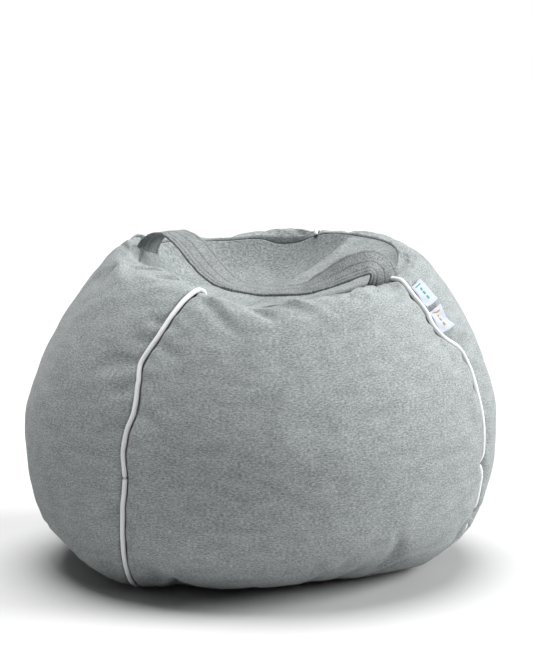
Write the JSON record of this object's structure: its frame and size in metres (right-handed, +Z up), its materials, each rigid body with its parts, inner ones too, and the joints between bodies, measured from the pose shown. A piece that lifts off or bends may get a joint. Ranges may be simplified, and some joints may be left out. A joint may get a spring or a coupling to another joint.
{
  "type": "bean bag chair",
  "caption": "Low round bean bag chair in grey heather knit with white piped seams, a sunken seat, a carry handle across the top and a zipped cover over a zipped liner of foam beads.",
  "frame": {"origin": "middle of the base, on the floor", "axes": "+Z up, front towards -Y, labels and the handle's lower end towards +X"},
  "size_m": [0.6524, 0.6524, 0.447],
  "materials": {
    "cover_knit": "heather grey brushed knit",
    "piping_cotton": "white knit over cord",
    "label_weave": "woven damask tab",
    "zip_tape": "woven tape",
    "liner_tape": "woven tape",
    "zip_coil": "moulded coil",
    "zip_stop": "crimped",
    "slider_metal": "enamelled die casting",
    "liner_cloth": "plain weave",
    "foam_beads": "expanded polystyrene"
  },
  "bodies": {
    "bag": {"back_panel": "cover_knit", "base_panel_front": "cover_knit", "base_panel_rear": "cover_knit", "base_zip_coil_front": "zip_coil", "base_zip_coil_rear": "zip_coil", "base_zip_end_stops": "zip_stop", "base_zip_tape_front": "zip_tape", "base_zip_tape_rear": "zip_tape", "bead_filling": "foam_beads", "carry_handle_left_end": "cover_knit", "carry_handle_right_end": "cover_knit", "front_panel": "cover_knit", "left_panel": "cover_knit", "liner_base_front": "liner_cloth", "liner_base_rear": "liner_cloth", "liner_side_front": "liner_cloth", "liner_side_rear": "liner_cloth", "liner_top": "liner_cloth", "liner_zip_coil_front": "zip_coil", "liner_zip_coil_rear": "zip_coil", "liner_zip_end_stops": "zip_stop", "liner_zip_tape_front": "liner_tape", "liner_zip_tape_rear": "liner_tape", "piping_back": "piping_cotton", "piping_front_left": "piping_cotton", "piping_left": "piping_cotton", "piping_right": "piping_cotton", "right_panel": "cover_knit", "top_panel": "cover_knit"},
    "handle": {"carry_handle_grip": "cover_knit"},
    "base_slider": {"base_zip_slider": "slider_metal"},
    "liner_slider": {"liner_zip_slider": "slider_metal"},
    "label_upper": {"woven_label_upper": "label_weave"},
    "label_lower": {"woven_label_lower": "label_weave"}
  },
  "joints": [
    {"name": "handle_lift", "type": "hinge", "parent": "bag", "child": "handle", "pos_m": [-0.123, 0.06, 0.445], "axis": [-0.8983, 0.4299, 0.0909], "range_deg": [0, 110]},
    {"name": "base_zip_slide", "type": "slide", "parent": "bag", "child": "base_slider", "axis": [1, 0, 0], "range_m": [0, 0.228]},
    {"name": "liner_zip_slide", "type": "slide", "parent": "bag", "child": "liner_slider", "axis": [1, 0, 0], "range_m": [0, 0.198]},
    {"name": "label_upper_fold", "type": "hinge", "parent": "bag", "child": "label_upper", "pos_m": [0.22973, -0.08721, 0.38141], "axis": [0.5797, -0.2342, -0.7804], "range_deg": [0, 80]},
    {"name": "label_lower_fold", "type": "hinge", "parent": "bag", "child": "label_lower", "pos_m": [0.25176, -0.09611, 0.34876], "axis": [0.5104, -0.2062, -0.8348], "range_deg": [0, 80]}
  ]
}
